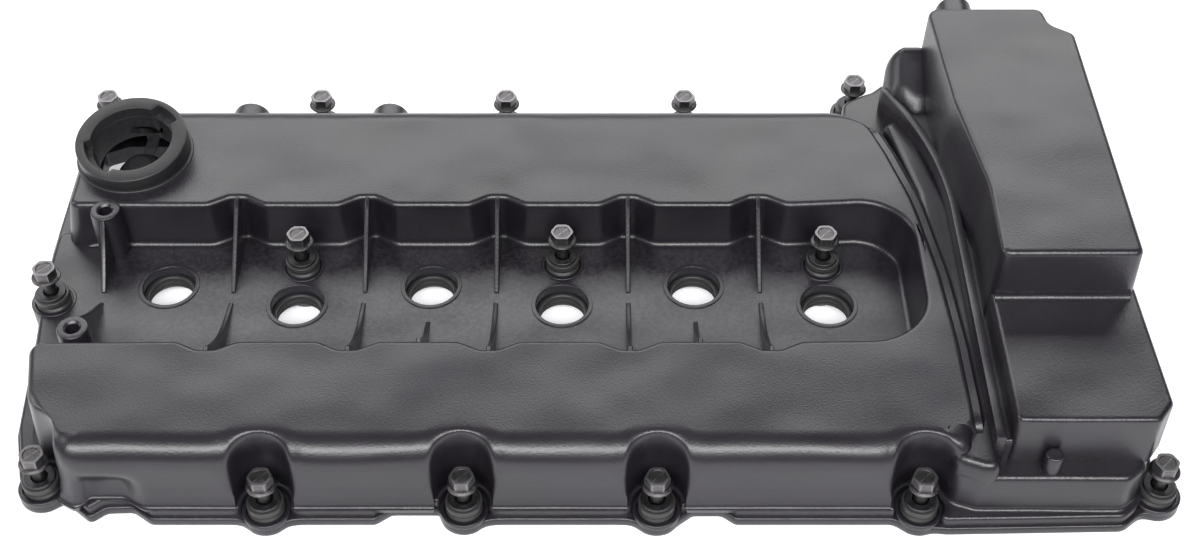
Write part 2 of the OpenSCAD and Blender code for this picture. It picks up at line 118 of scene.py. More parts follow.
class Plan:
    """A closed anticlockwise outline of (x, y, radius) corners, which can be drawn again at any distance inwards."""

    def __init__(self, corners, spacing=2.5, bites=()):
        self.corners = [(Vector(c[:2]), c[2]) for c in corners]
        self.spots = []
        for i, (_, r) in enumerate(self.corners):
            centre, start, sweep = self.corner(i, 0)
            steps = max(4, math.ceil(abs(sweep) * r * 1.6 / spacing)) if r > 0 else 0
            self.spots += [(i, k / max(1, steps), None) for k in range(steps + 1)]
            a, b = self.side(i, 0)
            length = (b - a).length
            if length < spacing * 0.6:
                continue
            along = (b - a) / length
            count = math.ceil(length / spacing)
            stops = {round(length * k / count, 3) for k in range(1, count)}
            for middle_point, radius in bites:
                c = (middle_point - a).dot(along)
                if abs(cross(along, middle_point - a)) > radius:
                    continue
                stops = {s for s in stops if abs(s - c) > radius + 2.2}
                near = [radius * math.sin(math.radians(k * 9)) for k in range(-10, 11)]
                near += [way * (radius + extra) for way in (-1, 1) for extra in (0.5, 1.1, 2.0)]
                stops |= {round(c + s, 3) for s in near if 0.4 < c + s < length - 0.4}
            self.spots += [(i, None, s) for s in sorted(stops)]
        self.points = self.inset(0)
        self.into = inward(self.points)

    def corner(self, i, d):
        """The centre of a corner's arc, the way to its start, and its sweep, d inwards."""
        p, r = self.corners[i]
        u = (self.corners[i - 1][0] - p).normalized()
        v = (self.corners[(i + 1) % len(self.corners)][0] - p).normalized()
        half = math.acos(max(-1.0, min(1.0, u.dot(v)))) / 2
        convex = cross(u, v) < 0
        if half > math.radians(89.8):
            side = Vector((-v.y, v.x)) * d
            return p + side, Vector((0, 0)), 0.0
        across = (u + v).normalized() / math.sin(half)
        r = max(r - d, min(r, 0.6)) if convex else r + d
        p = p + across * (d if convex else -d)
        centre = p + across * r
        return centre, p + u * r / math.tan(half) - centre, (math.pi - 2 * half) * (1 if convex else -1)

    def side(self, i, d):
        centre, start, sweep = self.corner(i, d)
        after, first, _ = self.corner((i + 1) % len(self.corners), d)
        return centre + turned(start, sweep), after + first

    def at(self, spot, d):
        """The outline's point at one spot, d inwards."""
        i, share, stop = spot
        if stop is None:
            centre, start, sweep = self.corner(i, d)
            return centre + turned(start, sweep * share)
        a, b = self.side(i, 0)
        length = (b - a).length
        along = (b - a) / length
        if d == 0:
            return a + along * stop
        near, far = self.side(i, d)
        zone = min(length / 2, 34.0)
        lost, gone = (near - a).dot(along), (b - far).dot(along)
        reach = stop + lost * max(0.0, 1 - stop / zone) ** 2 - gone * max(0.0, 1 - (length - stop) / zone) ** 2
        return a + along * reach + Vector((-along.y, along.x)) * d

    def inset(self, d):
        return [self.at(spot, d) for spot in self.spots]

    def sides(self):
        """Each spot's place among the sides, for by_side."""
        return [i - 0.5 + share if stop is None else i + 0.5 for i, share, stop in self.spots]

    def ring(self, d, z):
        return level(self.inset(d), z)


def inward(points):
    """The unit vector into an anticlockwise outline at each of its points."""
    out = []
    for i, p in enumerate(points):
        u = (p - points[i - 1]).normalized()
        v = (points[(i + 1) % len(points)] - p).normalized()
        t = (u + v).normalized()
        out.append(Vector((-t.y, t.x)))
    return out


def by_side(values, t):
    """A side's value, blended into the next side's round each corner."""
    t = (t - 0.5) % len(values)
    i = int(t)
    return mixed(values[i], values[(i + 1) % len(values)], smooth(t - i, 0, 1))


def evened(values, passes):
    """A closed list of numbers, each averaged with its neighbours a few times."""
    for _ in range(passes):
        values = [(values[i - 1] + 2 * v + values[(i + 1) % len(values)]) / 4 for i, v in enumerate(values)]
    return values


def notched(points, circles, into=True):
    """Replaces the part of an outline inside each circle with an arc, into the outline or out of it."""
    for centre, radius in circles:
        inside = [(p - centre).length < radius for p in points]
        if not any(inside) or all(inside):
            continue
        k = next(i for i in range(len(points)) if not inside[i] and inside[(i + 1) % len(points)])
        points = points[k:] + points[:k]
        inside = inside[k:] + inside[:k]
        run = next(i for i in range(1, len(points)) if not inside[i])
        a, b = points[0] - centre, points[run] - centre
        start, stop = math.atan2(a.y, a.x), math.atan2(b.y, b.x)
        sweep = -((start - stop) % (2 * math.pi)) if into else (stop - start) % (2 * math.pi)
        steps = max(6, int(abs(sweep) * radius / 1.6))
        arc = [centre + turned(Vector((radius, 0)), start + sweep * s / steps) for s in range(1, steps)]
        points = [points[0], *arc, *points[run:]]
        for _ in range(3):
            for i in (-3, -2, -1, 0, 1, 2, 3, steps - 3, steps - 2, steps - 1, steps, steps + 1, steps + 2):
                before, after = points[(i - 1) % len(points)], points[(i + 1) % len(points)]
                points[i % len(points)] = (before + points[i % len(points)] * 2 + after) / 4
    return points


def shifted(points, distance):
    """The outline moved inwards, with any fold at a tight corner pulled flat."""
    moved = [p + n * distance for p, n in zip(points, inward(points))]
    for _ in range(30):
        folds = 0
        for i, p in enumerate(points):
            j = (i + 1) % len(points)
            step = points[j] - p
            if (moved[j] - moved[i]).dot(step) < 0.02 * step.length_squared:
                centre = (moved[i] + moved[j]) / 2
                moved[i], moved[j] = centre - step * 0.04, centre + step * 0.04
                folds += 1
        if not folds:
            break
    return moved


def level(points, z):
    return [Vector((p.x, p.y, z)) for p in points]


def arc_profile(centre, radius, first, last, steps):
    """(across, up) points on an arc, from one angle to another in degrees."""
    return [
        (
            centre[0] + radius * math.cos(math.radians(mixed(first, last, k / steps))),
            centre[1] + radius * math.sin(math.radians(mixed(first, last, k / steps))),
        )
        for k in range(steps + 1)
    ]


def eased(profile, passes=1):
    """Rounds the corners of a closed (radius, height, round) profile."""
    out = []
    for i, (x, y, r) in enumerate(profile):
        p = Vector((x, y))
        a = Vector(profile[i - 1][:2])
        b = Vector(profile[(i + 1) % len(profile)][:2])
        if r <= 0:
            out.append(p)
            continue
        u, v = (a - p).normalized(), (b - p).normalized()
        half = math.acos(max(-1.0, min(1.0, u.dot(v)))) / 2
        centre = p + (u + v).normalized() * r / math.sin(half)
        start = p + u * r / math.tan(half) - centre
        sweep = (math.pi - 2 * half) * (-1 if cross(u, v) > 0 else 1)
        out += [centre + turned(start, sweep * k / 4) for k in range(5)]
    return out


# ---- Mesh helpers ----


def loft(bm, rings, closed=True):
    """Extrudes the first ring of points through the others and returns each ring's vertices."""
    row = [bm.verts.new(p) for p in rings[0]]
    pairs = list(zip(row, row[1:] + row[:1] if closed else row[1:]))
    edges = [bm.edges.new(pair) for pair in pairs]
    made = [row]
    for ring in rings[1:]:
        result = bmesh.ops.extrude_edge_only(bm, edges=edges)
        fresh = {g for g in result["geom"] if isinstance(g, bmesh.types.BMVert)}
        row = [next(o for e in v.link_edges if (o := e.other_vert(v)) in fresh) for v in row]
        for v, p in zip(row, ring):
            v.co = p
        pairs = list(zip(row, row[1:] + row[:1] if closed else row[1:]))
        edges = [bm.edges.get(pair) for pair in pairs]
        made.append(row)
    return made


def edges_of(bm, row):
    return [bm.edges.get(pair) or bm.edges.new(pair) for pair in zip(row, row[1:] + row[:1])]


def ring_of(bm, centre, radius, z, steps=48):
    """A circle of loose edges."""
    row = [
        bm.verts.new((centre.x + radius * math.cos(k * 2 * math.pi / steps), centre.y + radius * math.sin(k * 2 * math.pi / steps), z))
        for k in range(steps)
    ]
    return row, edges_of(bm, row)


def cap(bm, row, holes=()):
    """Fills a flat ring of vertices, leaving the holes open."""
    edges = edges_of(bm, row)
    for hole in holes:
        edges += edges_of(bm, hole)
    return bmesh.ops.triangle_fill(bm, use_beauty=True, use_dissolve=False, edges=edges)


def join(bm, part, matrix=None):
    """Adds a part to a larger piece and frees the part."""
    if matrix is not None:
        bmesh.ops.transform(part, matrix=matrix, verts=part.verts[:])
    mesh = bpy.data.meshes.new("part")
    part.to_mesh(mesh)
    part.free()
    bm.from_mesh(mesh)
    bpy.data.meshes.remove(mesh)


def lathe(bm, profile, centre, steps=48, turn=None):
    """Spins a closed (radius, height) profile round an upright axis."""
    part = bmesh.new()
    row = [part.verts.new((p[0], 0, p[1])) for p in profile]
    edges = [
        part.edges.new(pair) for pair in zip(row, row[1:] + row[:1]) if max(v.co.x for v in pair) > 1e-6
    ]
    bmesh.ops.spin(
        part, geom=row + edges, cent=(0, 0, 0), axis=(0, 0, 1), dvec=(0, 0, 0),
        angle=2 * math.pi, steps=steps, use_merge=True, use_normal_flip=False, use_duplicate=False,
    )
    bmesh.ops.remove_doubles(part, verts=part.verts[:], dist=0.001)
    matrix = Matrix.Translation(Vector((centre[0], centre[1], centre[2] if len(centre) > 2 else 0)))
    join(bm, part, matrix @ turn if turn is not None else matrix)


def connected(verts):
    """Every vertex joined to these."""
    found, queue = set(verts), list(verts)
    while queue:
        for e in queue.pop().link_edges:
            for v in e.verts:
                if v not in found:
                    found.add(v)
                    queue.append(v)
    return list(found)


def face_up(bm):
    """Turns an open sheet so that its highest flat faces look up."""
    bmesh.ops.recalc_face_normals(bm, faces=bm.faces[:])
    bm.normal_update()
    total = sum(f.normal.z * f.calc_area() for f in bm.faces)
    if total < 0:
        bmesh.ops.reverse_faces(bm, faces=bm.faces[:])
        bm.normal_update()


def thicken(bm, thickness):
    """Gives a sheet its wall, on the inner side."""
    face_up(bm)
    away = {tuple(v.co): v.normal.copy() for v in bm.verts}
    made = bmesh.ops.extrude_face_region(bm, geom=bm.faces[:], use_keep_orig=True)["geom"]
    for v in made:
        if isinstance(v, bmesh.types.BMVert):
            v.co -= away[tuple(v.co)] * thickness
    bmesh.ops.recalc_face_normals(bm, faces=bm.faces[:])


def finish(bm, name, nodes, body, material, sharp=35, closed=True):
    """Turns a mesh in millimetres into a piece of the cover that stands for its CAD nodes."""
    if closed:
        bmesh.ops.recalc_face_normals(bm, faces=bm.faces[:])
    matrix = Matrix.Translation(ORIGIN) @ Matrix.Scale(MM, 4)
    bmesh.ops.transform(bm, matrix=matrix, verts=bm.verts[:])
    mesh = bpy.data.meshes.new(name)
    bm.to_mesh(mesh)
    bm.free()
    mesh.shade_smooth()
    mesh.set_sharp_from_angle(angle=math.radians(sharp))
    mesh.materials.append(material)
    piece = bpy.data.objects.new(name, mesh)
    bpy.context.scene.collection.objects.link(piece)
    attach(piece, body)
    if nodes:
        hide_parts(*nodes)
    return piece


# ---- Materials ----


def linear(code, alpha=True):
    """An sRGB hex code as linear light."""
    parts = [int(code.lstrip("#")[i : i + 2], 16) / 255 for i in (0, 2, 4)]
    rgb = [c / 12.92 if c <= 0.04045 else ((c + 0.055) / 1.055) ** 2.4 for c in parts]
    return (*rgb, 1.0) if alpha else tuple(rgb)


def add(tree, kind, at=(0, 0), settings=None, **sockets):
    """Adds a node with its settings, its values, and its links where a value is another node's output."""
    node = tree.nodes.new(kind)
    node.location = (at[0] * 200, at[1] * 200)
    for key, value in (settings or {}).items():
        setattr(node, key, value)
    for key, value in sockets.items():
        socket = node.inputs[int(key[1:])] if key[0] == "_" and key[1:].isdigit() else node.inputs[key.replace("_", " ")]
        if isinstance(value, bpy.types.NodeSocket):
            tree.links.new(value, socket)
        else:
            socket.default_value = value
    return node


def per_mm(size):
    """The texture scale that gives a pattern this size in millimetres."""
    return 1 / (size * MM)


def blank(name):
    """A material with a Principled shader, and its place in the object's own coordinates."""
    material = bpy.data.materials.get(name)
    if material:
        return material, None, None, None
    material = bpy.data.materials.new(name)
    material.use_nodes = True
    tree = material.node_tree
    tree.nodes.clear()
    here = add(tree, "ShaderNodeTexCoord", (-8, 0)).outputs["Object"]
    shader = add(tree, "ShaderNodeBsdfPrincipled", (2, 0))
    out = add(tree, "ShaderNodeOutputMaterial", (4, 0), Surface=shader.outputs["BSDF"])
    return material, tree, here, shader


def wire(tree, node, **sockets):
    for key, value in sockets.items():
        socket = node.inputs[key.replace("_", " ")]
        if isinstance(value, bpy.types.NodeSocket):
            tree.links.new(value, socket)
        else:
            socket.default_value = value


def ramp(tree, value, stops, at=(0, 0)):
    node = add(tree, "ShaderNodeValToRGB", at, Fac=value)
    elements = node.color_ramp.elements
    while len(elements) < len(stops):
        elements.new(0.5)
    for element, (position, colour) in zip(elements, stops):
        element.position, element.color = position, colour
    return node.outputs["Color"]


def grey(value):
    return (value, value, value, 1.0)


def moulded_nylon(name, dark, light, rough_low, rough_high, grain_mm=0.9, ripple=0.5, scuffed=True):
    """Glass-filled nylon from a spark-eroded mould: a satin black skin with a fine leathery grain,
    cloudy patches where the glass lies near the surface, and pale rubbed edges."""
    material, tree, here, shader = blank(name)
    if tree is None:
        return material
    cloud = add(tree, "ShaderNodeTexNoise", (-6, 1), Vector=here, Scale=per_mm(55), Detail=4.0, Roughness=0.55)
    fibre = add(tree, "ShaderNodeTexNoise", (-6, 0), Vector=here, Scale=per_mm(2.2), Detail=3.0, Roughness=0.6)
    grain = add(tree, "ShaderNodeTexNoise", (-6, -1), Vector=here, Scale=per_mm(grain_mm), Detail=2.0, Roughness=0.5)
    sag = add(tree, "ShaderNodeTexNoise", (-6, -2), Vector=here, Scale=per_mm(48), Detail=1.0, Roughness=0.4)
    tone = add(tree, "ShaderNodeMath", (-4, 1), {"operation": "MULTIPLY_ADD"}, _0=fibre.outputs["Fac"], _1=0.35, _2=cloud.outputs["Fac"])
    colour = ramp(tree, tone.outputs[0], [(0.45, linear(dark)), (0.85, linear(light))], (-2, 1))
    # Pale wear where edges have been handled
    if scuffed:
        edge = add(tree, "ShaderNodeNewGeometry", (-6, 3))
        worn = ramp(tree, edge.outputs["Pointiness"], [(0.52, grey(0)), (0.60, grey(1))], (-4, 3))
        broken = ramp(tree, fibre.outputs["Fac"], [(0.42, grey(0)), (0.62, grey(1))], (-4, 2))
        both = add(tree, "ShaderNodeMath", (-2, 3), {"operation": "MULTIPLY"}, _0=worn, _1=broken)
        share = add(tree, "ShaderNodeMath", (-1, 3), {"operation": "MULTIPLY"}, _0=both.outputs[0], _1=0.35)
        colour = add(
            tree, "ShaderNodeMix", (0, 2), {"data_type": "RGBA"}, _0=share.outputs[0], _6=colour, _7=linear("#454247")
        ).outputs[2]
    rough = add(tree, "ShaderNodeMapRange", (-2, -1), Value=cloud.outputs["Fac"], _3=rough_low, _4=rough_high)
    fine = add(tree, "ShaderNodeBump", (0, -2), Height=grain.outputs["Fac"], Strength=0.3, Distance=0.0003)
    broad = add(tree, "ShaderNodeBump", (1, -2), Height=sag.outputs["Fac"], Strength=ripple, Distance=0.006, Normal=fine.outputs["Normal"])
    wire(tree, shader, Base_Color=colour, Roughness=rough.outputs["Result"], IOR=1.58, Normal=broad.outputs["Normal"])
    return material


def rubber(name, dark, light, rough):
    """Moulded nitrile rubber: dead black with a dusty bloom and a soft, low shine."""
    material, tree, here, shader = blank(name)
    if tree is None:
        return material
    bloom = add(tree, "ShaderNodeTexNoise", (-6, 1), Vector=here, Scale=per_mm(6), Detail=4.0, Roughness=0.6)
    grit = add(tree, "ShaderNodeTexNoise", (-6, -1), Vector=here, Scale=per_mm(0.7), Detail=2.0)
    colour = ramp(tree, bloom.outputs["Fac"], [(0.4, linear(dark)), (0.7, linear(light))], (-3, 1))
    rise = add(tree, "ShaderNodeMapRange", (-3, -1), Value=bloom.outputs["Fac"], _3=rough - 0.07, _4=rough + 0.07)
    bump = add(tree, "ShaderNodeBump", (0, -2), Height=grit.outputs["Fac"], Strength=0.15, Distance=0.0002)
    wire(tree, shader, Base_Color=colour, Roughness=rise.outputs["Result"], IOR=1.5, Normal=bump.outputs["Normal"])
    return material


def phosphated_steel(name, dark, light, bright, rough):
    """Phosphated and oiled steel: a grey-black crystalline coat, rubbed through to bright metal on the edges."""
    material, tree, here, shader = blank(name)
    if tree is None:
        return material
    coat = add(tree, "ShaderNodeTexNoise", (-6, 1), Vector=here, Scale=per_mm(1.6), Detail=5.0, Roughness=0.65)
    crystal = add(tree, "ShaderNodeTexVoronoi", (-6, -1), Vector=here, Scale=per_mm(0.5))
    colour = ramp(tree, coat.outputs["Fac"], [(0.35, linear(dark)), (0.7, linear(light))], (-3, 1))
    edge = add(tree, "ShaderNodeNewGeometry", (-6, 3))
    worn = ramp(tree, edge.outputs["Pointiness"], [(0.53, grey(0)), (0.64, grey(1))], (-4, 3))
    colour = add(tree, "ShaderNodeMix", (0, 2), {"data_type": "RGBA"}, _0=worn, _6=colour, _7=linear(bright)).outputs[2]
    rise = add(tree, "ShaderNodeMapRange", (-3, -1), Value=coat.outputs["Fac"], _3=rough - 0.1, _4=rough + 0.12)
    bump = add(tree, "ShaderNodeBump", (0, -2), Height=crystal.outputs["Distance"], Strength=0.2, Distance=0.0001)
    wire(tree, shader, Base_Color=colour, Metallic=1.0, Roughness=rise.outputs["Result"], Normal=bump.outputs["Normal"])
    return material


def cover_nylon():
    colours = bpy.context.scene.cover_colours
    return moulded_nylon("moulded_glass_filled_nylon", "#171419", "#201d24", 0.29, 0.40)


# A paler copy of the cover's nylon for the filler neck and its splash guard. The lift in colour is painted light on the
# shaded bore and on the guard in its shade.
def paler_nylon_painted_light():
    return moulded_nylon("pale_neck_plastic_painted_light", "#1b1b1d", "#252527", 0.40, 0.50, 0.7, 0.0)


def inner_nylon():
    return moulded_nylon("inner_welded_nylon", "#151415", "#1d1c1d", 0.5, 0.62, 0.9, 0.0, False)


# ---- Operators ----


class CoverSizes(bpy.types.PropertyGroup):
    wall: FloatProperty(name="Wall", description="Thickness of the moulded walls", default=3 * MM, unit="LENGTH")
    front_shoulder: FloatProperty(
        name="Front Shoulder", description="Radius of the front hump's shoulder", default=13 * MM, unit="LENGTH"
    )
    rear_shoulder: FloatProperty(
        name="Rear Shoulder", description="Radius of the rear hump's shoulder", default=16 * MM, unit="LENGTH"
    )
    valley_edge: FloatProperty(
        name="Valley Edge", description="Radius of the valley's top edges", default=2.8 * MM, unit="LENGTH"
    )
    rib: FloatProperty(name="Rib", description="Thickness of the valley's ribs", default=2.4 * MM, unit="LENGTH")
    scoop: FloatProperty(
        name="Scoop", description="Radius of the clearance round each bolt", default=13.2 * MM, unit="LENGTH"
    )
    thread_turns: IntProperty(name="Thread Turns", description="Turns of thread on each bolt", default=10, min=4, max=14)


class CoverColours(bpy.types.PropertyGroup):
    floor: FloatVectorProperty(
        name="Floor", description="Colour of the floor", subtype="COLOR", size=4, default=linear("#eeedef")
    )


class COVER_OT_cam_humps(bpy.types.Operator):
    """Builds the two cam humps and the roof between them"""

    bl_idname = "cover.cam_humps"
    bl_label = "Cam Humps"

    def execute(self, context):
        sizes = context.scene.cover_sizes
        scoop = sizes.scoop / MM
        edge = sizes.valley_edge / MM
        front, rear = sizes.front_shoulder / MM, sizes.rear_shoulder / MM
        # (x, y, corner radius), then for the side after it: slope, foot height, top radius, foot radius, flat margin, foot height
        sides = [
            (-181.5, -119.3, 14, 0.02, FLANGE_TOP, front, 2.5, 7, 10),
            (214.5, -119.3, 12, 0.02, FLANGE_TOP, 9, 2.5, 2, 8),
            (215.6, -103, 8, 0.5, CHANNEL, 2.8, 7, 0.6, 7),
            (216, -92, 60, 0.5, CHANNEL, 2.8, 7, 0.6, 7),
            (215.5, -55, 120, 0.5, CHANNEL, 2.8, 7, 0.6, 7),
            (213, -10, 150, 0.5, CHANNEL, 2.8, 7, 0.6, 7),
            (206.5, 40, 150, 0.5, CHANNEL, 2.8, 7, 0.6, 7),
            (197, 76, 60, 0.5, CHANNEL, 2.8, 7, 0.6, 7),
            (186, 108.7, 24, 0.62, FLANGE_TOP, rear, 3, 6, 5),
            (-213, 108.7, 14, 0.24, FLANGE_TOP, 3.5, 3, 1, 4),
            (-213, 36.3, 5, 0.02, VALLEY, edge, 3.2, 0.8, 3.6),
        ]
        rear_edge = [(x + dx, y, r, 0.02, VALLEY, edge, 3.2, 0.8, 3.6) for x in RIB_AT for dx, y, r in ((-14, 36.3, 8), (-4, 42, 6), (4, 42, 6), (14, 36.3, 8))]
        front_edge = [
            (x + dx, y, r, 0.02, VALLEY, edge, 3.2, 0.8, 3.6) for x in reversed(RIB_AT) for dx, y, r in ((14, -53, 8), (4, -58, 6), (-4, -58, 6), (-14, -53, 8))
        ]
        sides += rear_edge
        sides += [(205.4, 40, 26, 0.1, VALLEY, 2.4, 3.2, 0.6, 4), (205.4, -52, 30, 0.02, VALLEY, edge, 3.2, 0.8, 3.6)]
        sides += front_edge
        sides += [
            (-212, -53.6, 6, 0.08, FLANGE_TOP, 3.6, 3, 0.8, 5),
            (-205.5, -86, 18, 0.08, FLANGE_TOP, 4, 2.6, 0.8, 5),
            (-196.5, -102, 12, 0.06, FLANGE_TOP, 6, 2.6, 1, 6),
            (-191, -113.2, 14, 0.05, FLANGE_TOP, 10, 2.6, 2, 8),
        ]
        bites = [(at, scoop) for at in LOW_BOLTS]
        plan = Plan([s[:3] for s in sides], 2.2, bites)
        values = [evened([by_side([s[k] for s in sides], t) for t in plan.sides()], 9) for k in range(3, 9)]
        columns = [
            self.column(plan, spot, plan.points[i], *(v[i] for v in values), bites) for i, spot in enumerate(plan.spots)
        ]
        bm = bmesh.new()
        rings = [[column[k] for column in columns] for k in range(len(columns[0]))]
        rows = loft(bm, rings)
        self.soften(rows, bites)
        neck = place("filler_neck")
        hole, _ = ring_of(bm, Vector((neck.x + 1, neck.y + 0.3)), 22, HUMP_TOP, 64)
        cap(bm, rows[-1], [hole])
        thicken(bm, sizes.wall / MM)
        finish(
            bm, "cam_humps", ["cover_front_wall", "cover_front_roof", "cover_rear_wall", "cover_rear_roof"],
            "cover", cover_nylon(), 50, False,
        )
        return {"FINISHED"}

    @staticmethod
    def column(plan, spot, p, slope, foot, top_r, foot_r, margin, foot_h, bites):
        """The shell's outer face at one spot of the outline, from the foot to the roof."""
        lean = math.atan(slope)
        height = HUMP_TOP - foot
        reach = math.tan((math.pi / 2 - lean) / 2)
        low = -slope * height
        face = [(low - foot_r * reach - 0.6, foot - 0.15), (low - foot_r * reach, foot)]
        for k in range(1, 7):
            a = mixed(math.pi / 2, lean, k / 6)
            face.append((low - foot_r * reach + foot_r * math.cos(a) * (1 - slope), foot + foot_h * (1 - math.sin(a))))
        top_reach = top_r * reach
        wall_low = face[-1][1]
        wall_high = HUMP_TOP - top_reach * math.cos(lean)
        for k in range(1, 8):
            z = mixed(wall_low, wall_high, k / 7)
            face.append((-(HUMP_TOP - z) * slope, z))
        for k in range(1, 11):
            a = mixed(lean, math.pi / 2, k / 10)
            face.append((top_reach - top_r * math.cos(a), HUMP_TOP - top_r + top_r * math.sin(a)))
        depth = -99.0
        for centre, radius in bites:
            if (centre - p).length > 45:
                continue
            inside = [d for d in (k * 0.5 - 40 for k in range(113)) if (plan.at(spot, d) - centre).length < radius]
            if inside:
                near, far = inside[-1], inside[-1] + 0.5
                for _ in range(8):
                    d = (near + far) / 2
                    near, far = (d, far) if (plan.at(spot, d) - centre).length < radius else (near, d)
                depth = max(depth, near)
        recess = 5.8 * smooth(p.x, -183, -178) * (1 - smooth(p.x, -164, -151)) if p.y < -110 else 0
        out = []
        for d, z in face:
            if recess and z < 33:
                d += recess * (1 - smooth(z, 19, 32))
            d = depth + 0.25 * math.exp(d - depth) if d < depth else d + 0.25 * math.exp(depth - d)
            out.append(Vector((*plan.at(spot, d), z)))
        last = max(top_reach, depth) + 0.25
        return out + [Vector((*plan.at(spot, last + margin * share), HUMP_TOP)) for share in (0.12, 0.3, 0.52, 0.76, 1.0)]

    @staticmethod
    def soften(rows, bites):
        """Rounds the rims of the scoops round the bolts."""
        share = {}
        for k in range(5, len(rows) - 1):
            for v in rows[k]:
                off = min((v.co.to_2d() - c).length - r for c, r in bites)
                weight = (1 - smooth(off, 3.5, 7)) * smooth(off, -2, 0.2) * smooth(v.co.z, 14, 27)
                if weight > 0.01:
                    share[v] = weight * 0.6
        for _ in range(16):
            moves = []
            for k in range(5, len(rows) - 1):
                row = rows[k]
                for i, v in enumerate(row):
                    if v in share:
                        around = (rows[k - 1][i].co + rows[k + 1][i].co + row[i - 1].co + row[(i + 1) % len(row)].co) / 4
                        moves.append((v, v.co.lerp(around, share[v])))
            for v, co in moves:
                v.co = co


class COVER_OT_valley_floor(bpy.types.Operator):
    """Builds the valley's floor with its plug wells and the bosses of its bolts"""

    bl_idname = "cover.valley_floor"
    bl_label = "Valley Floor"

    def execute(self, context):
        bm = bmesh.new()
        plan = Plan([(212, -62, 34), (212, 46, 30), (-226, 46, 5), (-225.6, 10, 60), (-216.8, -68, 8), (-150, -62, 4)])
        rings = [plan.ring(0, 8.5), plan.ring(0, VALLEY - 3)]
        for k in range(1, 6):
            a = math.radians(90 * k / 5)
            rings.append(plan.ring(3 - 3 * math.cos(a), VALLEY - 3 + 3 * math.sin(a)))
        rings.append(plan.ring(3.8, VALLEY))
        rows = loft(bm, rings)
        holes = [ring_of(bm, at, 13.6, VALLEY, 56)[0] for at in WELL_AT]
        holes += [ring_of(bm, at, 10.0, VALLEY, 40)[0] for at in HIGH_BOLTS if at.x > -200]
        cap(bm, rows[-1], holes)
        thicken(bm, 3.2)
        for at in WELL_AT:
            lathe(bm, eased([(12.85, 6.6, 0.3), (14.55, 6.6, 0.3), (14.55, 17.6, 0), (15.1, 18.9, 0), (15.1, 19.5, 0.25), (12.85, 19.5, 0.45)]), at, 64)
        for at in HIGH_BOLTS:
            profile = [(5.6, 0.6, 0), (10.9, 0.6, 0.5), (10.9, HIGH_RIM, 0.5), (8.9, HIGH_RIM, 0.4), (8.8, 15.2, 0.3), (5.6, 15.2, 0.3)]
            lathe(bm, eased(profile), at, 56)
        finish(bm, "valley_floor", ["cover_valley"], "cover", cover_nylon(), 40, False)
        return {"FINISHED"}


class COVER_OT_valley_ribs(bpy.types.Operator):
    """Builds the webs that brace the valley's walls"""

    bl_idname = "cover.valley_ribs"
    bl_label = "Valley Ribs"

    def execute(self, context):
        thick = context.scene.cover_sizes.rib / MM
        bm = bmesh.new()
        for x in RIB_AT:
            self.web(bm, x, 43.5, 40.5, 2, thick, 0.0)
            self.web(bm, x, -59.5, -56.5, -5.5, thick, 1.0)
        for at in (WELL_AT[2], WELL_AT[4]):
            self.web(bm, at.x, -54, -51.5, -18, thick, 0.8)
        posts = [Vector((-194.1, 32.9)), Vector((-193.7, -45.4))]
        self.web(bm, posts[0].x, posts[0].y - 4, posts[0].y - 7, 2, thick, 0.3)
        self.web(bm, posts[1].x, posts[1].y + 4, posts[1].y + 7, -5.5, thick, 0.3)
        finish(bm, "valley_ribs", ["cover_valley_ribs"], "cover", cover_nylon(), 40)
        return {"FINISHED"}

    @staticmethod
    def web(bm, x, root, lip, tip, thick, dip):
        """One web from a wall's top edge down to a tip on the floor, with a top edge that hangs by dip."""
        high = HUMP_TOP - 0.6
        low = VALLEY - 1
        steps = 10
        top = []
        for k in range(steps + 1):
            t = k / steps
            y = mixed(lip, tip, t)
            z = mixed(high, VALLEY + 0.7, t) - dip * 7 * math.sin(math.pi * t) * (1 - 0.4 * t)
            top.append((y, z))
        edge = [(root, low), (root, high), *top, (tip, low)]
        row = [bm.verts.new((x - thick / 2, y, z)) for y, z in edge]
        face = bmesh.ops.contextual_create(bm, geom=[bm.edges.new(pair) for pair in zip(row, row[1:] + row[:1])])["faces"]
        moved = bmesh.ops.extrude_face_region(bm, geom=face)["geom"]
        verts = [g for g in moved if isinstance(g, bmesh.types.BMVert)]
        bmesh.ops.translate(bm, vec=(thick, 0, 0), verts=verts)
        island = connected(verts)
        edges = {e for v in island for e in v.link_edges}
        rims = [e for e in edges if all(v.co.z > VALLEY + 0.5 for v in e.verts) and abs(e.verts[0].co.x - e.verts[1].co.x) < 0.01]
        bmesh.ops.bevel(bm, geom=rims, offset=0.7, segments=3, profile=0.5, affect="EDGES", material=-1)


class COVER_OT_screw_posts(bpy.types.Operator):
    """Builds the two hollow posts at the filler end of the valley"""

    bl_idname = "cover.screw_posts"
    bl_label = "Screw Posts"

    def execute(self, context):
        bm = bmesh.new()
        for at in ((-194.1, 32.9), (-193.7, -45.4)):
            profile = [(3.25, 26, 0), (0.0, 26, 0), (0.0, 17, 0), (9.0, 17, 0), (7.9, 19.4, 0.8), (7.3, HUMP_TOP, 0.8), (4.3, HUMP_TOP, 0.15), (3.25, 45.0, 0.2)]
            lathe(bm, eased(profile), at, 56)
        finish(bm, "screw_posts", ["cover_screw_posts"], "cover", cover_nylon(), 40)
        return {"FINISHED"}


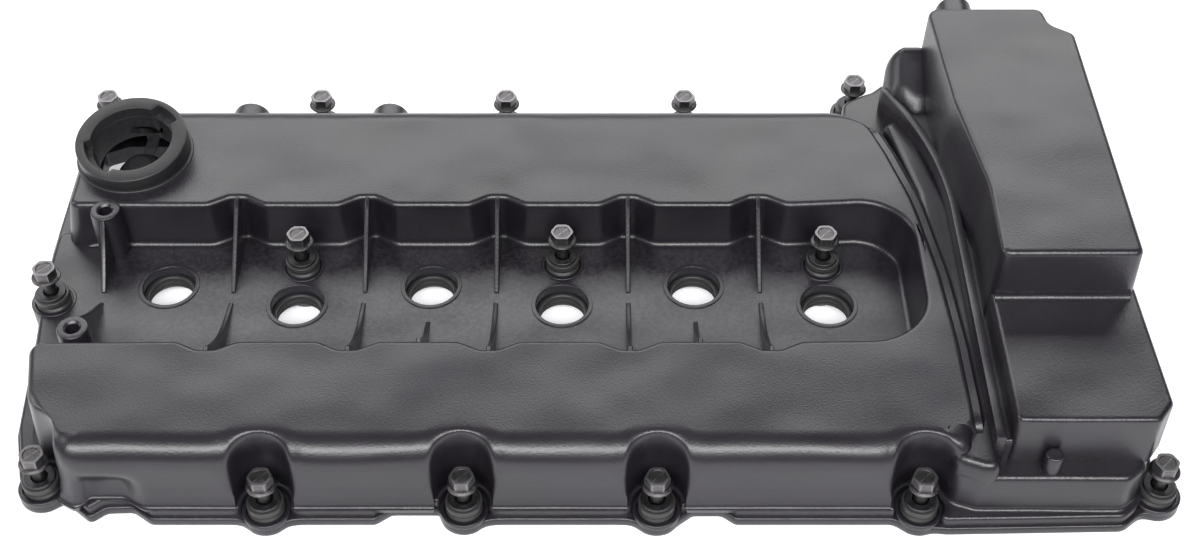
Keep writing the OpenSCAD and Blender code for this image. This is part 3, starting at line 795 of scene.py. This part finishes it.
FLANGE_PLAN = [
    (-214, -106, 10), (-191, -113.6, 6), (-178.5, -124, 3), (-172, -118.6, 5), (-160, -118.2, 6), (-151, -124.7, 5),
    (-50, -124.7, 4), (-43, -119.6, 4), (-22, -119.6, 3), (-12, -124.7, 3), (87, -124.7, 4), (93, -120, 4),
    (106, -120, 4), (112, -124.7, 4), (182, -124.7, 12), (206, -130, 12), (286, -128.4, 8), (306, -112, 9),
    (306, 138, 10), (292, 152, 10), (181, 152, 12), (170, 137, 10), (-221, 137, 10), (-231.5, 124, 10),
    (-231.5, 38, 30), (-222, -76, 20),
]
GASKET_PLAN = [
    (-188, -92, 10), (-174, -106, 8), (-158, -106, 8), (-148, -110.5, 6), (204, -110.5, 10), (286, -112, 8),
    (290, -96, 8), (290, 130, 10), (280, 137, 10), (206, 137, 14), (170, 122, 14), (-206, 124.5, 8),
    (-222.5, 117, 8), (-216, 24, 12), (-200, 12, 8), (-200, -18, 8), (-213, -30, 8),
]
GASKET_HALF = 1.8
GASKET_TOP = 2.6
BOSS_R = 11.2


class COVER_OT_flange(bpy.types.Operator):
    """Builds the stepped flange and the bosses of its bolts"""

    bl_idname = "cover.flange"
    bl_label = "Flange"

    def execute(self, context):
        bm = bmesh.new()
        edge = Plan(FLANGE_PLAN, 2.5).points
        lower = notched(edge, [(at, BOSS_R) for at in LOW_BOLTS], False)
        rings = [level(shifted(lower, 1.0), 0.6), level(shifted(lower, 0.5), 0.6), level(shifted(lower, 0.15), 0.75), level(lower, 1.2)]
        rings += [level(shifted(lower, 0.05), 3.9), level(shifted(lower, 0.25), 4.5), level(shifted(lower, 0.65), 4.88), level(shifted(lower, 1.1), 5), level(shifted(lower, 1.5), 5)]
        rows = loft(bm, rings)
        seat = Plan(GASKET_PLAN, 4)
        outer, inner = seat.inset(-GASKET_HALF), seat.inset(GASKET_HALF)
        land = seat.inset(GASKET_HALF + 3.4)
        under = loft(bm, [level(outer, 0.6), level(outer, GASKET_TOP), level(inner, GASKET_TOP), level(inner, 0.6)])
        inside = loft(bm, [level(land, 0.6), level(land, LIP_TOP)])
        low_holes, high_holes = [], []
        for at in LOW_BOLTS:
            round_hole = [Vector((at.x + 5.7 * math.cos(k * math.pi / 16), at.y + 5.7 * math.sin(k * math.pi / 16))) for k in range(32)]
            low, high = loft(bm, [level(round_hole, 0.6), level(round_hole, LIP_TOP)])
            low_holes.append(low)
            high_holes.append(high)
        cap(bm, rows[0], [under[0], *low_holes])
        cap(bm, under[3], [inside[0]])
        cap(bm, rows[-1], [inside[1], *high_holes])
        # The upper step stands back from the lip and clear of the bosses
        upper = notched(shifted(edge, 1.8), [(at, 10.9) for at in LOW_BOLTS], True)
        rings = [level(shifted(upper, 0.6), 4.6), level(upper, 4.6), level(upper, 8.2)]
        for k in range(1, 6):
            a = math.radians(18 * k)
            rings.append(level(shifted(upper, 1.8 - 1.8 * math.cos(a)), 8.2 + 1.8 * math.sin(a)))
        rings.append(level(shifted(upper, 2.2), FLANGE_TOP))
        rows = loft(bm, rings)
        wall = loft(bm, [level(land, 4.6), level(land, FLANGE_TOP)])
        cap(bm, rows[0], [wall[0]])
        cap(bm, rows[-1], [wall[1]])
        for at in LOW_BOLTS:
            profile = [(5.6, 0.8, 0), (10.8, 0.8, 0), (11.0, 4, 0), (BOSS_R, 5.5, 0), (BOSS_R - 0.1, LOW_RIM, 0.7), (9.0, LOW_RIM, 0.5), (8.8, 3, 0.3), (5.6, 3, 0.2)]
            lathe(bm, eased(profile), at, 56)
        finish(
            bm, "flange", ["cover_flange_front", "cover_flange_rear", "cover_flange_left", "cover_flange_right"],
            "cover", cover_nylon(), 38,
        )
        return {"FINISHED"}


class COVER_OT_end_housing(bpy.types.Operator):
    """Builds the low housing under the separator box, and the channel beside the humps"""

    bl_idname = "cover.end_housing"
    bl_label = "End Housing"

    def execute(self, context):
        wall = context.scene.cover_sizes.wall / MM
        # The corner bolt stands close under the box
        bites = [(at, 9.8 if at.x > 290 else 13.2) for at in LOW_BOLTS]
        bm = bmesh.new()
        plan = Plan([(203, -117.5, 4), (211, -119.8, 8), (219, -122.6, 8), (284, -123, 8), (300.6, -110, 6), (300.6, 135, 6), (290, 146.6, 6), (205, 146.6, 5), (182, 131, 8), (178, 100, 4), (210, 54, 4), (210, -66, 4)])
        points = notched(plan.points, bites, True)
        part = self.block(points, FLANGE_TOP, LEDGE, 3.0)
        thicken(part, wall)
        join(bm, part)
        part = self.channel(bites)
        thicken(part, wall)
        join(bm, part)
        stub = eased([(0, 28, 0), (4.3, 28, 0), (4.0, 42, 1.2), (0, 42, 0)])
        lathe(bm, stub, (250, -116.2), 40)
        finish(bm, "end_housing", ["cover_end_housing"], "cover", cover_nylon(), 45, False)
        return {"FINISHED"}

    @staticmethod
    def block(points, foot, top, radius):
        bm = bmesh.new()
        flare = 2.2
        rings = [level(shifted(points, -flare - 0.5), foot - 0.15)]
        for k in range(5):
            a = math.radians(90 * k / 4)
            rings.append(level(shifted(points, -flare + flare * math.sin(a)), foot + flare - flare * math.cos(a)))
        rings.append(level(shifted(points, 0.15), mixed(foot + flare, top - radius, 0.5)))
        for k in range(6):
            a = math.radians(90 * k / 5)
            rings.append(level(shifted(points, 0.3 + radius - radius * math.cos(a)), top - radius + radius * math.sin(a)))
        rings.append(level(shifted(points, 0.3 + radius + 0.8), top))
        cap(bm, loft(bm, rings)[-1])
        return bm

    @staticmethod
    def channel(bites):
        """The floor of the channel between the humps and the weld rail, which rolls over into the front wall."""
        bm = bmesh.new()
        plan = Plan(
            [(206, -117, 3), (212.5, -119.6, 6), (219.5, -122.3, 7), (227.5, -122.4, 5), (228, 40, 60), (216, 100, 20), (206, 112, 6), (200, 104, 4), (210.5, 52, 20), (210.5, -64, 6), (202, -70, 4)]
        )
        points = notched(plan.points, bites, True)
        radius = 7.0
        rings = [level(points, LEDGE - 14), level(points, CHANNEL - radius)]
        for k in range(1, 8):
            a = math.radians(90 * k / 7)
            rings.append(level(shifted(points, (radius - radius * math.cos(a)) * 0.6), CHANNEL - radius + radius * math.sin(a)))
        rings.append(level(shifted(points, radius * 0.6 + 0.8), CHANNEL))
        cap(bm, loft(bm, rings)[-1])
        return bm


class COVER_OT_separator_box(bpy.types.Operator):
    """Builds the oil separator box with its two tiers and its weld rail"""

    bl_idname = "cover.separator_box"
    bl_label = "Separator Box"

    def execute(self, context):
        bm = bmesh.new()
        lower = [(231.5, -112, 3.6), (293.3, -112, 4), (301, -102, 4), (298.5, -30, 4), (231.5, -30, 4)]
        join(bm, self.tier(lower, LEDGE - 1, 60, 2.2, 0.012))
        upper = [(232, -38.5, 4), (296, -38.5, 4), (294.5, 120, 5), (283, 128, 8), (281, 141, 5), (221.5, 141, 6), (225, 68, 60), (233, 8, 60)]
        join(bm, self.tier(upper, LEDGE - 1, 88, 2.6, 0.03))
        saddle = [(224.8, -110.5, 1.5), (236, -110.5, 1.5), (236, 20, 60), (232, 75, 60), (228, 141, 3), (206, 141, 8), (204, 128, 6), (213, 108, 8), (222, 74, 60), (226, 30, 60)]
        join(bm, self.tier(saddle, LEDGE - 1, 44, 1.2, 0.0))
        self.rail(bm)
        join(bm, self.bulge())
        join(bm, self.fillet(3.0, -39.35, 60, 232.5, 294.6))
        finish(bm, "separator_box", ["separator_housing"], "cover", cover_nylon(), 40)
        return {"FINISHED"}

    @staticmethod
    def tier(corners, foot, top, radius, draft):
        """One storey of the box, with drafted sides and a rounded top edge."""
        bm = bmesh.new()
        plan = Plan(corners, 3)
        flare = -draft * (top - foot)

        def ring(inset, z):
            return plan.ring(flare + inset + draft * (z - foot), z)

        rings = [ring(0, foot)]
        for k in range(1, 6):
            rings.append(ring(0, mixed(foot, top - radius, k / 5)))
        for k in range(1, 7):
            a = math.radians(90 * k / 6)
            rings.append(ring(radius - radius * math.cos(a), top - radius + radius * math.sin(a)))
        rings.append(ring(radius + 0.8, top))
        rows = loft(bm, rings)
        cap(bm, rows[-1])
        cap(bm, rows[0])
        return bm

    @staticmethod
    def fillet(radius, y, z, left, right):
        """The hollow fillet where the upper storey's front stands on the lower one."""
        bm = bmesh.new()
        section = [(y + 1, z - 1), (y - radius - 0.6, z - 0.06)]
        section += [(y - radius + radius * math.sin(math.radians(9 * k)), z + radius - radius * math.cos(math.radians(9 * k))) for k in range(11)]
        section += [(y + 0.05, z + radius + 1), (y + 1, z + radius + 1)]
        rows = loft(bm, [[Vector((x, a, b)) for a, b in section] for x in (left, mixed(left, right, 0.5), right)])
        for row in (rows[0], rows[-1]):
            bmesh.ops.contextual_create(bm, geom=edges_of(bm, row))
        return bm

    @staticmethod
    def rail(bm):
        """The weld rail: straight beside the box, then bending behind the humps, with a rounded front end."""
        line = [Vector((226.6, -112 + 6 * k)) for k in range(24)]
        centre = Vector((39.4, 30))
        arc_r = 187.2
        line += [centre + turned(Vector((arc_r, 0)), math.radians(a)) for a in range(1, 31)]
        half = 2.2
        section = [(-half, LEDGE), (-half, 47.2), (-half + 0.25, 47.75), (-half + 0.8, 48), (half - 0.8, 48), (half - 0.25, 47.75), (half, 47.2), (half, LEDGE)]
        rings = []
        for i, p in enumerate(line):
            ahead = line[min(i + 1, len(line) - 1)] - line[max(i - 1, 0)]
            n = Vector((ahead.y, -ahead.x)).normalized()
            rings.append([Vector((p.x + n.x * d, p.y + n.y * d, z)) for d, z in section])
        rows = loft(bm, rings, closed=True)
        for row in (rows[0], rows[-1]):
            bmesh.ops.contextual_create(bm, geom=edges_of(bm, row))
        ends = [e for row in (rows[0], rows[-1]) for e in edges_of(bm, row)]
        bmesh.ops.bevel(bm, geom=ends, offset=0.5, segments=2, profile=0.5, affect="EDGES", material=-1)

    @staticmethod
    def bulge():
        """The rounded shoulder behind the rail's end."""
        bm = bmesh.new()
        plan = Plan([(202, 116, 10), (228, 98, 9), (228, 141, 9), (203.5, 141, 9)], 2)
        rings = [plan.ring(0, LEDGE)]
        for k in range(9):
            a = math.radians(90 * k / 8)
            rings.append(plan.ring(8 - 8 * math.cos(a), 56 + 10 * math.sin(a)))
        rows = loft(bm, rings)
        cap(bm, rows[-1])
        cap(bm, rows[0])
        for v in bm.verts:
            fall = max(0.0, 137 - v.co.y) * 0.62 + max(0.0, 212 - v.co.x) * 0.5
            v.co.z -= min(fall, 17) * smooth(v.co.z, 40, 60)
        return bm


class COVER_OT_separator_inside(bpy.types.Operator):
    """Gives the separator's floor, baffles and drain tube their nylon"""

    bl_idname = "cover.separator_inside"
    bl_label = "Separator Inside"

    def execute(self, context):
        for node in ("separator_floor", "separator_baffles", "separator_drain_tube"):
            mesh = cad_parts[node].data
            mesh.materials.clear()
            mesh.materials.append(inner_nylon())
        return {"FINISHED"}


class COVER_OT_filler_neck(bpy.types.Operator):
    """Builds the oil filler neck, with its two notches, and the splash guard under it"""

    bl_idname = "cover.filler_neck"
    bl_label = "Filler Neck"

    def execute(self, context):
        lean = Matrix.Rotation(math.radians(8), 4, "X")
        top = (-186.3, 72.3, 58.0)
        bm = bmesh.new()
        steps = 144
        notch_half = math.degrees(math.asin(7.5 / 22.5))
        outer = eased([(20.5, -22, 0), (28, -22, 0.4), (28, -9.6, 0), (27.7, -9.0, 0), (27.7, -8.4, 0), (28, -7.8, 0), (28, 0, 0.8), (20.5, 0, 0.5)])
        inner_r = 20.5
        rings = []
        for k in range(steps):
            angle = math.radians(360 * k / steps)
            row = []
            for r, z in outer:
                notch = 0.0
                for middle_angle, deep in ((48, 4.2), (218, 3.0)):
                    off = abs((math.degrees(angle) - middle_angle + 180) % 360 - 180)
                    width = notch_half if deep > 4 else 34
                    notch = max(notch, deep * (1 - smooth(off, width - 1.5, width + 1.0)))
                if r < 22 and z > -6:
                    r += notch
                row.append(Vector((r * math.cos(angle), r * math.sin(angle), z)))
            rings.append(row)
        rows = loft(bm, rings + [rings[0]])
        bmesh.ops.remove_doubles(bm, verts=bm.verts[:], dist=0.002)
        ledge = eased([(20.4, -5.6, 0), (25.4, -5.6, 0), (25.4, -7.2, 0), (20.2, -7.2, 0.3), (20.0, -6.6, 0.3), (20.4, -6.0, 0)])
        lathe(bm, ledge, (0, 0), 96)
        bmesh.ops.transform(bm, matrix=Matrix.Translation(top) @ lean, verts=bm.verts[:])
        collar = eased([(24, 44, 0), (29.4, 44, 0), (29.4, HUMP_TOP + 1.0, 0.6), (24, HUMP_TOP + 1.0, 0)])
        lathe(bm, collar, (top[0], top[1] + 1.2), 96)
        finish(bm, "neck_ring", ["filler_neck"], "cover", paler_nylon_painted_light(), 35)
        self.guard(top, lean)
        return {"FINISHED"}

    @staticmethod
    def guard(top, lean):
        bm = bmesh.new()
        dome = [(0, -29.6, 0), (12.6, -29.6, 0.3), (12.6, -27.6, 0.6), (10.4, -26.8, 0.8), (9.0, -22.6, 1.6), (5.5, -20.9, 1.0), (0, -20.3, 0)]
        lathe(bm, eased(dome), (0, 0), 64)
        for degrees in (85, 205, 325):
            bar = bmesh.ops.create_cube(bm, size=1)["verts"]
            bmesh.ops.transform(bm, matrix=Matrix.Translation((17.8, 0, -28.8)) @ Matrix.Diagonal((13.6, 6, 2.2, 1)), verts=bar)
            leg = bmesh.ops.create_cube(bm, size=1)["verts"]
            bmesh.ops.transform(bm, matrix=Matrix.Translation((23.8, 0, -25.6)) @ Matrix.Diagonal((2.2, 6, 8.6, 1)), verts=leg)
            edges = list({e for v in bar + leg for e in v.link_edges})
            rounded = bmesh.ops.bevel(bm, geom=edges, offset=0.5, segments=2, profile=0.5, affect="EDGES", material=-1)
            island = connected([v for v in rounded["verts"]])
            bmesh.ops.rotate(bm, cent=(0, 0, 0), matrix=Matrix.Rotation(math.radians(degrees), 3, "Z"), verts=island)
        bmesh.ops.transform(bm, matrix=Matrix.Translation(top) @ lean, verts=bm.verts[:])
        # The guard takes the paler neck nylon: painted light that lifts it out of the shade inside the neck.
        finish(bm, "splash_guard", ["filler_splash_guard"], "cover", paler_nylon_painted_light(), 35)


class COVER_OT_breather(bpy.types.Operator):
    """Builds the breather spigot behind the box and the round bosses in the rear slope"""

    bl_idname = "cover.breather"
    bl_label = "Breather"

    def execute(self, context):
        lie = Matrix.Rotation(math.radians(-90), 4, "X")
        bm = bmesh.new()
        profile = [(7.5, -1, 0), (9.5, -1, 0), (9.5, 14, 0), (10.0, 15.5, 0.3), (9.5, 18.6, 0.3), (8.8, 20, 0.4), (7.5, 20, 0.4)]
        lathe(bm, eased([(r if r < 9.6 else 9.5, z, e) for r, z, e in profile]), (240, 141, 71), 56, lie)
        finish(bm, "breather_spigot", ["breather_port"], "cover", cover_nylon(), 40)
        bm = bmesh.new()
        for x in (-135, -61):
            profile = [(0, -24, 0), (10, -24, 0), (10, 0, 1.6), (7.4, 0, 0.6), (7.4, -7, 0.4), (0, -7, 0)]
            lathe(bm, eased(profile), (x, 121, 30.5), 56, lie)
        finish(bm, "rear_bosses", [], "cover", cover_nylon(), 40)
        return {"FINISHED"}


class COVER_OT_gasket(bpy.types.Operator):
    """Builds the rubber bead under the flange"""

    bl_idname = "cover.gasket"
    bl_label = "Gasket"

    def execute(self, context):
        bm = bmesh.new()
        seat = Plan(GASKET_PLAN, 3)
        section = [(-1.5, GASKET_TOP), (-1.7, 0.8), (-1.2, 0.45), (-0.5, 0.1), (0, 0), (0.5, 0.1), (1.2, 0.45), (1.7, 0.8), (1.5, GASKET_TOP)]
        rows = loft(bm, [seat.ring(d, z) for d, z in section])
        bmesh.ops.bridge_loops(bm, edges=edges_of(bm, rows[0]) + edges_of(bm, rows[-1]))
        finish(bm, "gasket_bead", ["perimeter_gasket"], "cover", rubber("gasket_rubber", "#141414", "#1f1f20", 0.55), 50)
        return {"FINISHED"}


class COVER_OT_plug_seals(bpy.types.Operator):
    """Builds the six ribbed seals of the plug wells"""

    bl_idname = "cover.plug_seals"
    bl_label = "Plug Seals"

    def execute(self, context):
        material = rubber("seal_rubber", "#19191a", "#2a2a2b", 0.45)
        profile = [
            (12.85, 6.2, 0.2), (11.6, 6.2, 0.3), (11.5, 6.8, 0), (11.0, 7.4, 0.25), (11.6, 8.1, 0), (11.7, 9.0, 0), (11.0, 9.8, 0.25),
            (11.6, 10.5, 0), (11.8, 11.4, 0), (11.0, 12.4, 0.2), (11.1, 13.2, 0.2), (11.7, 13.6, 0.3), (12.85, 13.6, 0.3),
        ]
        for node, at in zip(WELLS, WELL_AT):
            bm = bmesh.new()
            lathe(bm, eased(profile), at, 64)
            finish(bm, f"{node}_ribbed", [node], "cover", material, 45)
        return {"FINISHED"}


def rims():
    """Each bolt's place with the height of its boss's rim."""
    return [(at, LOW_RIM if top_of(node) < 36 else HIGH_RIM) for at, node in zip(BOLT_AT, BOLTS)]


class COVER_OT_sleeves(bpy.types.Operator):
    """Builds the sixteen steel sleeves with their washers"""

    bl_idname = "cover.sleeves"
    bl_label = "Sleeves"

    def execute(self, context):
        bm = bmesh.new()
        for at, rim in rims():
            top = rim + 6.8
            profile = [(3.75, 2, 0.3), (5, 2, 0.4), (5, top - 1.4, 0.2), (7.0, top - 1.4, 0.3), (7.2, top - 1.0, 0), (7.2, top - 0.5, 0), (6.9, top, 0.3), (3.75, top, 0.3)]
            lathe(bm, eased(profile), at, 56)
        material = phosphated_steel("phosphated_sleeve_steel", "#454446", "#59585a", "#88878b", 0.46)
        finish(bm, "sleeves", ["bolt_sleeves"], "cover", material, 35)
        return {"FINISHED"}


class COVER_OT_grommets(bpy.types.Operator):
    """Builds the sixteen rubber grommets that hold the sleeves"""

    bl_idname = "cover.grommets"
    bl_label = "Grommets"

    def execute(self, context):
        bm = bmesh.new()
        for at, rim in rims():
            low = rim - 4.1
            profile = [
                (5.0, low, 0), (8.5, low, 0.3), (8.5, low + 4.2, 0.5), (7.6, low + 5.2, 0.3), (7.4, low + 5.9, 0.3), (8.2, low + 6.4, 0.2),
                (8.5, low + 7.2, 0.3), (8.3, low + 9.4, 0.5), (5.0, low + 9.5, 0),
            ]
            lathe(bm, eased(profile), at, 56)
        finish(bm, "grommets", ["bolt_grommets"], "cover", rubber("grommet_rubber", "#1b1b1c", "#29292a", 0.5), 40)
        return {"FINISHED"}


class COVER_OT_bolts(bpy.types.Operator):
    """Builds the sixteen captive flange bolts"""

    bl_idname = "cover.bolts"
    bl_label = "Bolts"

    def execute(self, context):
        turns = context.scene.cover_sizes.thread_turns
        material = phosphated_steel("phosphated_bolt_steel", "#525051", "#686667", "#a3a1a4", 0.42)
        for number, (node, at) in enumerate(zip(BOLTS, BOLT_AT)):
            bm = bmesh.new()
            top = top_of(node)
            under = top - 6.5
            pitch = 9.6 / turns
            profile = [(0, 0, 0), (2.3, 0, 0)]
            for k in range(turns):
                z = 0.4 + k * pitch
                profile += [(2.55, z, 0), (3.0, z + pitch * 0.42, 0), (3.0, z + pitch * 0.58, 0)]
            profile += [(2.55, 10.2, 0), (3.1, 10.8, 0.2), (3.1, under - 0.6, 0.3), (3.5, under, 0), (6.7, under, 0.2), (7.0, under + 0.4, 0.1), (6.9, under + 0.95, 0.2), (5.9, under + 1.5, 0.4), (5.2, under + 1.7, 0), (0, under + 1.7, 0)]
            lathe(bm, eased(profile), at, 40)
            self.hexagon(bm, at, under + 1.2, top, number)
            finish(bm, f"{node}_steel", [node], f"{node}_body", material, 32)
        return {"FINISHED"}

    @staticmethod
    def hexagon(bm, at, low, top, number):
        """A six-sided head whose corners are cut back by a turned cone, with a shallow dish in the top."""
        across = 5.0
        turn = math.radians(30)
        steps = 96
        rings = []
        for inset, z in ((0, low), (0, top - 0.5), (None, top), (1.1, top), (1.4, top - 0.4), (4.9, top - 0.4)):
            row = []
            for k in range(steps):
                angle = 2 * math.pi * k / steps
                flat = across / math.cos((angle - turn + math.pi / 6) % (math.pi / 3) - math.pi / 6)
                if inset is None:
                    r = min(flat, 5.35)
                elif inset == 0:
                    chamfer = 5.77 if z > low + 0.1 else 5.9
                    r = min(flat, chamfer)
                else:
                    r = across - inset
                row.append(Vector((r * math.cos(angle + 0.0), r * math.sin(angle), z)))
            rings.append(row)
        sub = bmesh.new()
        rows = loft(sub, rings)
        cap(sub, rows[-1])
        cap(sub, rows[0])
        join(bm, sub, Matrix.Translation((at.x, at.y, 0)))


class COVER_OT_stage(bpy.types.Operator):
    """Lays the floor and sets the lights and the camera"""

    bl_idname = "cover.stage"
    bl_label = "Stage"

    def execute(self, context):
        scene = context.scene
        floor_material, tree, here, shader = blank("pale_studio_paper")
        speck = add(tree, "ShaderNodeTexNoise", (-4, 0), Vector=here, Scale=per_mm(30), Detail=3.0)
        tone = ramp(tree, speck.outputs["Fac"], [(0.3, linear("#ecebed")), (0.7, linear("#efeef0"))], (-2, 0))
        wire(tree, shader, Base_Color=tone, Roughness=0.85, Emission_Color=linear("#f4f5f8"), Emission_Strength=0.42)
        bm = bmesh.new()
        bmesh.ops.create_grid(bm, x_segments=1, y_segments=1, size=6)
        mesh = bpy.data.meshes.new("studio_floor")
        bm.to_mesh(mesh)
        bm.free()
        mesh.materials.append(floor_material)
        floor = bpy.data.objects.new("studio_floor", mesh)
        floor.location.z = -0.0004
        scene.collection.objects.link(floor)
        world = bpy.data.worlds.new("soft_white_room")
        world.use_nodes = True
        world.node_tree.nodes["Background"].inputs["Color"].default_value = linear("#f4f5f8")
        world.node_tree.nodes["Background"].inputs["Strength"].default_value = 0.14
        scene.world = world
        scene.view_settings.view_transform = "Standard"
        for name, at, aim, size, power in (
            ("front_softbox", (0.0, -1.25, 1.45), (0, -0.1, 0.03), (2.4, 0.4), 56),
            ("rear_softbox", (-0.1, 1.55, 1.25), (0, 0.05, 0.03), (2.8, 0.95), 32),
            ("left_softbox", (-1.7, 0.2, 0.9), (0, 0, 0.03), (0.5, 1.2), 9),
        ):
            light = bpy.data.lights.new(name, "AREA")
            light.shape = "RECTANGLE"
            light.size, light.size_y = size
            light.energy = power
            lamp = bpy.data.objects.new(name, light)
            lamp.location = at
            lamp.rotation_euler = (Vector(aim) - Vector(at)).to_track_quat("-Z", "Y").to_euler()
            scene.collection.objects.link(lamp)
        camera = bpy.data.objects.new("camera", bpy.data.cameras.new("camera"))
        camera.data.lens = 51.3
        camera.data.sensor_width = 36
        camera.location = (0.00975, -0.59197, 0.63527)
        camera.rotation_euler = (math.radians(43.6), 0, 0)
        scene.collection.objects.link(camera)
        scene.camera = camera
        return {"FINISHED"}


STEPS = [
    COVER_OT_cam_humps, COVER_OT_valley_floor, COVER_OT_valley_ribs, COVER_OT_screw_posts, COVER_OT_flange,
    COVER_OT_end_housing, COVER_OT_separator_box, COVER_OT_separator_inside, COVER_OT_filler_neck,
    COVER_OT_breather, COVER_OT_gasket, COVER_OT_plug_seals, COVER_OT_sleeves, COVER_OT_grommets,
    COVER_OT_bolts, COVER_OT_stage,
]


class COVER_PT_panel(bpy.types.Panel):
    """Lists the cover's sizes and the steps that build it"""

    bl_label = "Cam Cover"
    bl_idname = "COVER_PT_panel"
    bl_space_type = "VIEW_3D"
    bl_region_type = "UI"
    bl_category = "Cam Cover"

    def draw(self, context):
        column = self.layout.column()
        for group in (context.scene.cover_sizes, context.scene.cover_colours):
            for name in group.bl_rna.properties.keys():
                if name not in ("rna_type", "name"):
                    column.prop(group, name)
        for step in STEPS:
            column.operator(step.bl_idname)


CLASSES = [CoverSizes, CoverColours, *STEPS, COVER_PT_panel]


def register():
    for cls in CLASSES:
        bpy.utils.register_class(cls)
    bpy.types.Scene.cover_sizes = PointerProperty(type=CoverSizes)
    bpy.types.Scene.cover_colours = PointerProperty(type=CoverColours)


def unregister():
    del bpy.types.Scene.cover_colours
    del bpy.types.Scene.cover_sizes
    for cls in reversed(CLASSES):
        bpy.utils.unregister_class(cls)


def main():
    register()
    for step in STEPS:
        group, name = step.bl_idname.split(".")
        getattr(getattr(bpy.ops, group), name)()


if __name__ == "__main__":
    main()
